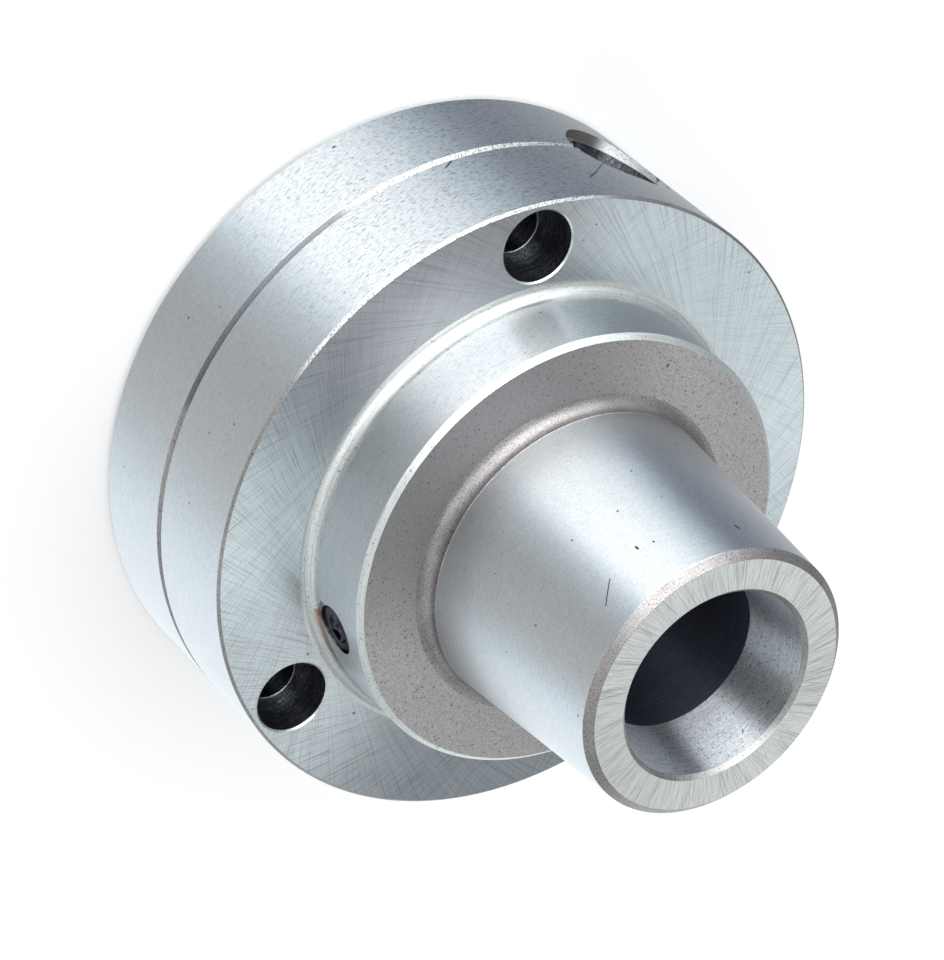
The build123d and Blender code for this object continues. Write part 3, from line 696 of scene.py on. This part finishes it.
def buildMaterials():
    space = turnedSpaceGroup()
    effects = {"space": space, "ringGrain": ringGrainGroup(space), "wheelGrain": wheelGrainGroup(space),
               "grains": grainsGroup(space), "specks": specksGroup(space), "mark": markGroup(space),
               "sector": sectorGroup(space)}
    made = {}

    look = groundLook
    for zone, own in groundZones.items():
        w = Finish(zone + "Steel", {**look, **own}, effects)
        place = w.effect("space")
        marks = w.effect("ringGrain", Across=place["Height"])
        fine = w.effect("grains")
        sectorMask = w.times(w.effect("sector", "dashSector")["Mask"], w.step(place["Radius"], *look["dashRadii"]))
        shown = w.math("MULTIPLY_ADD", sectorMask, *look["dashes"])
        tone = w.layered(w.toned(marks["Streaks"], fine["Mottle"]), [
            (marks["Dashes"], "dash", shown), (fine["Pits"], "dash", "pits"),
            (w.effect("specks")["Mask"], "speck", "specks")])
        if zone == "ground":
            # specks and scratches, and a painted shadow line along the spot face's front edge
            tone = w.marked(tone, place["Height"], groundMarksAndPaintedShadow, look["speck"], "marks")
        else:
            tone = w.marked(tone, place["Height"], stainEdge, stainLook["line"], "stain")
        made[zone] = w.finished(tone, marks["Height"])

    look = faceLook
    for zone in ("flangeFace", "back"):
        w = Finish(zone + "Steel", look, effects)
        one = w.effect("wheelGrain", "oneWay")
        other = w.effect("wheelGrain", "otherWay")
        rays = w.effect("wheelGrain", "rays")
        crossed = w.math("MULTIPLY_ADD", w.effect("sector", "crossedSector")["Mask"], *look["crossed"])
        tone = w.layered(look["colour"], [
            (rays["Height"], "light", "rays"), (one["Light Lines"], "light", "light"),
            (other["Light Lines"], "light", crossed), (one["Dark Lines"], "line", "lines"),
            (other["Dark Lines"], "line", crossed)])
        if zone == "flangeFace":
            # painted shade: the face colour is darkened in these sectors
            for shadeSector, amount, shade in facePaintedShades:
                darker = w.over((1, 1, 1), shade, w.group(effects["sector"], shadeSector)["Mask"], amount)
                tone = w.vector("MULTIPLY", tone, darker)
            tone = w.marked(tone, w.effect("space")["Radius"], faceMarks, look["speck"], "marks")
        tone = w.layered(tone, [(w.effect("grains")["Pits"], "line", "pits"),
                                (w.effect("specks")["Mask"], "speck", "specks")])
        made[zone] = w.finished(tone, w.plus(one["Height"], other["Height"]))

    look = turnedLook
    w = Finish("turnedSteel", look, effects)
    coarse = w.effect("grains")
    # the darker sector laid over the grain is painted shade
    tone = w.layered(w.blend(coarse["Mottle"], look["dark"], look["light"]), [
        (w.effect("sector", "paintedShadeSector")["Mask"], "paintedShade", "paintedShade"), (coarse["Pits"], "pit", "pits"),
        (w.effect("specks")["Mask"], "pit", "specks")])
    tone = w.marked(tone, w.effect("space")["Radius"], turnedMarks, look["pit"], "marks")
    made["turned"] = w.finished(tone, coarse["Height"])

    # the rim's edges carry a painted highlight in a sector at the front and in the groove, with dark flecks
    # of grain, and painted shade in a sector of the groove beside that
    look = edgeLook
    w = Finish("edgeSteel", look, effects)
    place = w.effect("space")
    coarse = w.effect("grains")
    brown = w.step(w.noise(place["Point"], look["brownScale"]), *look["brownSpan"])
    inFront = w.step(place["Height"], *look["frontHeights"])
    behind = w.minus(1.0, inFront)
    paintedHighlight = w.plus(w.times(w.effect("sector", "frontHighlight")["Mask"], inFront),
                    w.times(w.effect("sector", "grooveHighlight")["Mask"], behind))
    sectorMask = w.times(w.step(paintedHighlight, *look["highlightSpan"]), w.step(place["Radius"], *look["highlightRadii"]))
    flecks = w.times(sectorMask, w.minus(1.0, w.step(coarse["Height"], *look["fleckSpan"])))
    inGroove = w.times(w.step(place["Height"], *look["grooveHeights"]), behind)
    # painted shade in a sector of the groove
    grooveShade = w.times(w.step(w.effect("sector", "grooveShadeSector")["Mask"], *look["grooveShadeSpan"]), inGroove)
    tone = w.layered(w.toned(brown, coarse["Mottle"]), [(grooveShade, "grooveShade", "grooveShade")])
    # painted highlight on the edges in the front and groove sectors, broken by dark flecks of grain
    tone = w.blend(sectorMask, tone, look["paintedHighlight"])
    tone = w.layered(tone, [(flecks, "pit", "flecks"), (coarse["Pits"], "pit", "pits")])
    made["edge"] = w.finished(tone, coarse["Height"])

    look = coveLook
    w = Finish("coveSteel", look, effects)
    place = w.effect("space")
    marks = w.effect("ringGrain", Across=place["Radius"])
    fine = w.effect("grains")
    tone = w.toned(marks["Streaks"], fine["Mottle"])
    for radius in look["ringRadii"]:
        away = w.math("ABSOLUTE", w.minus(place["Radius"], radius))
        shown = w.times(marks["Streaks"], look["strength"]["rings"])
        tone = w.layered(tone, [(w.minus(1.0, w.step(away, *look["ringSpan"])), "line", shown)])
    tone = w.layered(tone, [(fine["Pits"], "line", "pits"), (w.effect("specks")["Mask"], "line", "specks")])
    tone = w.marked(tone, place["Height"], stainTrail, stainLook["colour"], "trail")
    tone = w.marked(tone, place["Height"], stainEdge, stainLook["line"], "stain")
    made["cove"] = w.finished(tone, marks["Height"])

    w = Finish("noseEndSteel", endLook, effects)
    one = w.effect("wheelGrain", "oneWay")
    other = w.effect("wheelGrain", "otherWay")
    tone = w.layered(endLook["colour"], [
        (one["Light Lines"], "light", "light"), (w.effect("grains")["Pits"], "line", "pits"),
        (one["Dark Lines"], "line", "lines"), (other["Dark Lines"], "line", "crossed")])
    made["noseEnd"] = w.finished(tone, one["Height"])

    for zone, own in innerZones.items():
        w = Finish(zone + "Steel", {**innerLook, **own}, effects)
        marks = w.effect("ringGrain", Across=w.effect("space")["Height"])
        fine = w.effect("grains")
        if zone == "seat":
            tone = w.layered(w.toned(marks["Streaks"], fine["Mottle"]), [(fine["Pits"], "pit", "pits")])
        else:
            tone = w.blend(w.times(marks["Streaks"], fine["Mottle"]), own["dark"], own["light"])
        made[zone] = w.finished(tone, marks["Height"])

    look = spotPaintedHighlightLook
    w = Finish("spotSteel", look, effects)
    fine = w.effect("grains")
    x, y, z = w.separate(w.effect("space")["Point"])
    # near-white as a painted highlight, brownish dark towards +y
    tone = w.blend(fine["Mottle"], look["light"], look["middle"])
    tone = w.blend(w.step(y, *look["brownFrom"]), tone, look["brown"])
    made["spot"] = w.finished(w.layered(tone, [(fine["Pits"], "pit", "pits")]), fine["Height"])

    plain = {"grease": ("socketGrease", socketInsideLook)}
    for zone, (grey, roughness) in plainSteels.items():
        dark, light = [[grey * share for share in plainLook[name]] for name in ("darker", "lighter")]
        plain[zone] = (zone + "Steel", {**plainLook, "dark": dark, "light": light, "roughness": roughness})
    for zone, (name, look) in plain.items():
        w = Finish(name, look, effects)
        fine = w.effect("grains")
        made[zone] = w.finished(w.blend(fine["Mottle"], look["dark"], look["light"]), fine["Height"])
    print("finishes", len(made))
    return made


# Key screw: a set screw with a hexagon socket, in the side of the hub

keyScrew = {"radius": 4.75, "topRadius": 43.15, "length": 12.4, "chamfer": 0.5, "socketWidth": 5.0,
            "socketDepth": 4.0, "socketChamfer": 0.35, "cutAbove": 1.0}


def hexagonCutter(bm, place, radius, bottom, top, zone):
    low, high = [ringOf(bm, place, radius, height, 6) for height in (bottom, top)]
    faces = [bm.faces.new(low), bm.faces.new(high)]
    for i in range(6):
        k = (i + 1) % 6
        faces.append(bm.faces.new([low[i], low[k], high[k], high[i]]))
    for face in faces:
        face.material_index = zone


def buildKeyScrew(finish, socketFinish):
    k = keyScrew
    top = k["topRadius"]
    bottom = top - k["length"]
    above = top + k["cutAbove"]
    inner = k["radius"] - k["chamfer"]
    place = axisAlong(keyHole["height"], polar(1, keyHole["angle"]))
    finishes = [finish, socketFinish]
    bm = bmesh.new()
    rod(bm, place, [
        (inner, bottom, "screw"), (k["radius"], bottom + k["chamfer"], "screw"),
        (k["radius"], top - k["chamfer"], "screw"), (inner, top, "screw")], ["screw"], sides["screw"])
    piece = newObject("keyScrew", meshFrom(bm, "keyScrew", finishes))
    wide = k["socketWidth"] / math.sqrt(3)
    bm = bmesh.new()
    hexagonCutter(bm, place, wide, top - k["socketDepth"], above, finishes.index(socketFinish))
    cutFrom(piece, meshFrom(bm, "socket", finishes))
    bm = bmesh.new()
    rod(bm, place, [
        (wide - k["socketChamfer"], top - 2 * k["socketChamfer"], "screw"), (wide, top, "screw"),
        (wide, above, "screw")], ["screw"], sides["screw"])
    cutFrom(piece, meshFrom(bm, "socketChamfer", finishes))
    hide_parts("key_screw")
    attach(piece, "chuck_body")
    print("key screw", len(piece.data.polygons), "faces")


# Geometry Nodes: the body screws and the draw ring's thread

class Growing(Wiring):
    # a Geometry Nodes tree with named inputs
    def __init__(self, name, inputs):
        tree = bpy.data.node_groups.new(name, "GeometryNodeTree")
        tree.interface.new_socket("Geometry", in_out="INPUT", socket_type="NodeSocketGeometry")
        for label, value in inputs.items():
            kind = {int: "NodeSocketInt", float: "NodeSocketFloat"}.get(type(value), "NodeSocketMaterial")
            tree.interface.new_socket(label, in_out="INPUT", socket_type=kind).default_value = value
        tree.interface.new_socket("Geometry", in_out="OUTPUT", socket_type="NodeSocketGeometry")
        super().__init__(tree)
        self.given = self.add("NodeGroupInput").outputs
        self.inputs = inputs

    def make(self, kind, values, **settings):
        node = self.add("GeometryNode" + kind, **settings)
        for label, value in values.items():
            self.join(value, node.inputs[label])
        return node.outputs[0]

    def cylinder(self, count, radius, length, middle):
        # upright on the local axis, with its middle at a height
        rod = self.make("MeshCylinder", {"Vertices": count, "Radius": radius, "Depth": length})
        return self.lifted(rod, middle)

    def lifted(self, geometry, height):
        return self.make("Transform", {"Geometry": geometry, "Translation": self.combine(0.0, 0.0, height)})

    def grown(self, geometry):
        # the tree's result as an object with one plain mesh
        real = self.make("RealizeInstances", {"Geometry": geometry})
        painted = self.make("SetMaterial", {"Geometry": real, "Material": self.given["Material"]})
        self.join(painted, self.add("NodeGroupOutput").inputs[0])
        obj = newObject(self.tree.name, bpy.data.meshes.new(self.tree.name))
        modifier = obj.modifiers.new("grow", "NODES")
        modifier.node_group = self.tree
        for item in self.tree.interface.items_tree:
            if item.in_out == "INPUT" and item.name in self.inputs:
                modifier[item.identifier] = self.inputs[item.name]
        bpy.context.view_layer.update()
        obj.data = plainMesh(obj, self.tree.name)
        obj.data.shade_smooth()
        obj.data.set_sharp_from_angle(angle=math.radians(sharpFrom["grown"]))
        return obj


bodyScrews = {"Screws": 3, "Circle Radius": 55.0 * mm, "Head Radius": 5.0 * mm, "Head Height": 6.0 * mm,
              "Sink": 0.6 * mm, "Socket Width": 5.0 * mm, "Socket Depth": 3.0 * mm, "Shank Radius": 3.0 * mm,
              "Shank Length": 25.0 * mm}


def buildBodyScrews(finish):
    g = Growing("bodyScrews", {**bodyScrews, "Material": finish})
    given = g.given
    sink = given["Sink"]
    headHeight = given["Head Height"]
    shankStart = g.math("MULTIPLY_ADD", headHeight, 0.9, sink)  # the shank begins inside the head
    shankEnd = g.plus(g.plus(sink, headHeight), given["Shank Length"])
    head = g.cylinder(sides["screwHead"], given["Head Radius"], headHeight,
                      g.math("MULTIPLY_ADD", headHeight, 0.5, sink))
    shank = g.cylinder(sides["thin"], given["Shank Radius"], g.minus(shankEnd, shankStart),
                       g.times(g.plus(shankStart, shankEnd), 0.5))
    socket = g.cylinder(6, g.divided(given["Socket Width"], math.sqrt(3)),
                        g.times(given["Socket Depth"], 2.0), sink)
    whole = g.add("GeometryNodeMeshBoolean", operation="UNION", solver="EXACT")
    g.join(head, whole.inputs["Mesh 2"])
    g.join(shank, whole.inputs["Mesh 2"])
    screw = g.make("MeshBoolean", {"Mesh 1": whole.outputs[0], "Mesh 2": socket}, operation="DIFFERENCE",
                   solver="EXACT")
    places = g.make("MeshCircle", {"Vertices": given["Screws"], "Radius": given["Circle Radius"]})
    firstAngle = math.radians(screwHoles["angles"][0])
    places = g.make("Transform", {"Geometry": places, "Rotation": (0, 0, firstAngle)})
    piece = g.grown(g.make("InstanceOnPoints", {"Points": places, "Instance": screw}))
    for i in range(bodyScrews["Screws"]):
        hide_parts("body_screw_%d" % (i + 1))
    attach(piece, "chuck_body")
    print("body screws", len(piece.data.polygons), "faces")


ringThread = {"Minor Radius": 15.035 * mm, "Pitch": 1.27 * mm, "Start Height": 18.6 * mm, "Turns": 21.5,
              "Depth": 0.7 * mm}


def mergedCopy(node, name, finish):
    # the carried-over mesh with its seams closed
    bm = bmesh.new()
    bm.from_mesh(nodes[node].data)
    bm.transform(nodes[node].matrix_world)
    bmesh.ops.remove_doubles(bm, verts=bm.verts, dist=0.001 * mm)
    return newObject(name, meshFrom(bm, name, [finish], sharpFrom["grown"]))


def buildDrawRing(finish):
    g = Growing("threadGroove", {**ringThread, "Material": finish})
    given = g.given
    size = g.divided(given["Depth"], 1.15)  # the groove's depth by the radius of its three-cornered section
    middle = g.minus(g.plus(given["Minor Radius"], given["Depth"]), size)
    spiral = g.make("CurveSpiral", {"Resolution": sides["thread"], "Rotations": given["Turns"],
                                    "Start Radius": middle, "End Radius": middle,
                                    "Height": g.times(given["Turns"], given["Pitch"])})
    upright = g.make("SetCurveNormal", {"Curve": spiral}, mode="Z_UP")
    section = g.make("CurvePrimitiveCircle", {"Resolution": 3, "Radius": size})
    groove = g.make("CurveToMesh", {"Curve": upright, "Profile Curve": section, "Fill Caps": True})
    cutter = g.grown(g.lifted(groove, given["Start Height"]))
    print("thread groove", len(cutter.data.polygons), "faces")
    ring = mergedCopy("draw_ring", "drawRing", finish)
    cutFrom(ring, cutter.data, sharpFrom["grown"])
    bpy.data.objects.remove(cutter)
    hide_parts("draw_ring")
    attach(ring, "ring")
    print("draw ring", len(ring.data.polygons), "faces")


def buildPinion(finish):
    piece = mergedCopy("pinion", "keyPinion", finish)
    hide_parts("pinion")
    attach(piece, "key_pinion")
    print("pinion", len(piece.data.polygons), "faces")


# Camera, from the camera model that fits the photograph

shot = {"imageWidth": 944, "imageHeight": 960, "focalPixels": 4248.33, "axisLean": 44.14, "axisTurn": 42.44,
        "chuckTurn": 198.66, "offset": (-12.77, -14.75, 802.16), "sensorWidth": 36, "clip": (0.05, 20)}


def buildCamera():
    lean = math.radians(shot["axisLean"])
    turn = math.radians(shot["axisTurn"])
    axisZ = Vector((math.sin(lean) * math.cos(turn), math.sin(lean) * math.sin(turn), -math.cos(lean)))
    axisX = Vector((-math.sin(turn), math.cos(turn), 0))
    axisY = axisZ.cross(axisX)
    chuckTurn = Matrix.Rotation(math.radians(shot["chuckTurn"]), 3, "Z")
    toCamera = Matrix((axisX, axisY, axisZ)).transposed() @ chuckTurn
    place = -(toCamera.transposed() @ Vector(shot["offset"])) * mm
    flip = Matrix(((1, 0, 0), (0, -1, 0), (0, 0, -1)))
    data = bpy.data.cameras.new("camera")
    data.sensor_width = shot["sensorWidth"]
    data.lens = shot["focalPixels"] * shot["sensorWidth"] / max(shot["imageWidth"], shot["imageHeight"])
    data.clip_start, data.clip_end = shot["clip"]
    camera = newObject("camera", data)
    camera.matrix_world = Matrix.Translation(place) @ (toCamera.transposed() @ flip).to_4x4()
    scene.camera = camera
    print("camera", round(data.lens, 1), "mm")


# Studio: light bands round the horizon by azimuth in degrees. The high bands stand above the low ones.

lowBands = [(-180, (1.28, 1.36, 1.42)), (-110, (1.35, 1.42, 1.46)), (-98, (0.75, 0.78, 0.80)),
            (-72, (0.60, 0.62, 0.65)), (-50, (0.42, 0.45, 0.50)), (-30, (0.29, 0.31, 0.36)),
            (-18, (0.22, 0.25, 0.31)), (-8, (0.50, 0.58, 0.68)), (4, (0.90, 0.98, 1.06)),
            (16, (1.38, 1.45, 1.50)), (30, (1.65, 1.68, 1.70)), (56, (1.68, 1.72, 1.74)),
            (64, (1.15, 1.25, 1.34)), (76, (0.72, 0.78, 0.82)), (96, (0.58, 0.59, 0.60)),
            (130, (0.66, 0.67, 0.67)), (146, (0.80, 0.85, 0.88)), (162, (1.10, 1.22, 1.30))]
highBands = [(-180, (0.55, 0.58, 0.6)), (-140, (0.35, 0.38, 0.42)), (-130, (1.2, 1.2, 1.2)),
             (-121, (1.25, 1.25, 1.25)), (-112, (0.5, 0.5, 0.52)), (-101, (1.35, 1.35, 1.35)),
             (-90, (0.7, 0.72, 0.74)), (-74, (0.42, 0.44, 0.47)), (-20, (0.42, 0.45, 0.50)),
             (-6, (0.8, 0.85, 0.92)), (7, (5.0, 5.15, 5.25)), (58, (5.0, 5.1, 5.1)), (68, (2.4, 2.5, 2.6)),
             (76, (0.8, 0.84, 0.88)), (100, (0.48, 0.48, 0.48)), (140, (1.15, 1.2, 1.25)),
             (160, (1.15, 1.2, 1.25))]
studio = {"lowToHigh": (-0.1, 0.25), "floorLight": 1.0, "floorSize": 3, "floorDrop": 0.3}
floorLook = {"colour": (0.86, 0.86, 0.86), "glow": 0.22, "roughness": 0.9, "metallic": 0}


def bandsAround(w, share, bands):
    # colour by the share of a turn, from a list of (azimuth, colour)
    ramp = w.add("ShaderNodeValToRGB")
    ramp.color_ramp.interpolation = "EASE"
    brightest = max(max(colour) for angle, colour in bands)
    stops = ramp.color_ramp.elements
    closed = bands + [(180, bands[0][1])]
    for i, (angle, colour) in enumerate(closed):
        place = angle / 360 + 0.5
        stop = stops[i] if i < 2 else stops.new(place)
        stop.position = place
        stop.color = (*(value / brightest for value in colour), 1)
    w.join(share, ramp.inputs[0])
    return w.vector("SCALE", ramp.outputs[0], scale=brightest)


def buildWorld():
    world = bpy.data.worlds.new("studio")
    world.use_nodes = True
    w = Wiring(world.node_tree)
    x, y, z = w.separate(w.add("ShaderNodeTexCoord").outputs["Generated"])
    share = w.math("MULTIPLY_ADD", w.math("ARCTAN2", y, x), 0.5 / math.pi, 0.5)
    bands = w.blend(w.step(z, *studio["lowToHigh"]), bandsAround(w, share, lowBands),
                    bandsAround(w, share, highBands))
    path = w.add("ShaderNodeLightPath").outputs
    level = studio["floorLight"]
    even = w.blend(path["Is Camera Ray"], (level, level, level), (1, 1, 1))
    w.join(w.blend(path["Is Glossy Ray"], even, bands), world.node_tree.nodes["Background"].inputs["Color"])
    scene.world = world


def buildFloor():
    bm = bmesh.new()
    bmesh.ops.create_grid(bm, x_segments=1, y_segments=1, size=studio["floorSize"])
    for vert in bm.verts:
        vert.co.z = -studio["floorDrop"] * mm
    mesh = bpy.data.meshes.new("floor")
    bm.to_mesh(mesh)
    bm.free()
    floor = newObject("floor", mesh)
    w = Finish("floorWhite", floorLook, {})
    w.join(floorLook["colour"], w.sockets["Base Color"])
    w.sockets["Specular IOR Level"].default_value = 0.0
    w.join((1, 1, 1), w.sockets["Emission Color"])
    seen = w.add("ShaderNodeLightPath").outputs["Is Camera Ray"]
    w.join(w.times(seen, floorLook["glow"]), w.sockets["Emission Strength"])
    # clear from below, so that the chuck's back can be seen
    below = w.add("ShaderNodeNewGeometry").outputs["Backfacing"]
    w.join(w.minus(1.0, below), w.sockets["Alpha"])
    mesh.materials.append(w.material)
    floor.visible_glossy = False


buildCamera()
buildWorld()
buildFloor()
scene.view_settings.view_transform = "Standard"
print("studio", len(lowBands) + len(highBands), "bands")
steels = buildMaterials()
bodyFinishes = [steels[zone] for zone in bodyZones]
buildFrontBody(bodyFinishes)
buildRearBody(bodyFinishes)
buildKeyScrew(steels["oxide"], steels["grease"])
buildBodyScrews(steels["oxide"])
buildDrawRing(steels["hardened"])
buildPinion(steels["hardened"])

slotSteel = {"ground_steel": "ground", "hardened_steel": "hardened", "bearing_steel": "bearing",
             "pressed_steel": "pressed", "black_oxide": "oxide"}
for part in frame["record"]["subparts"]:
    mesh = nodes[part["node"]].data
    mesh.materials.clear()
    mesh.materials.append(steels[slotSteel[part["material_slot"]]])
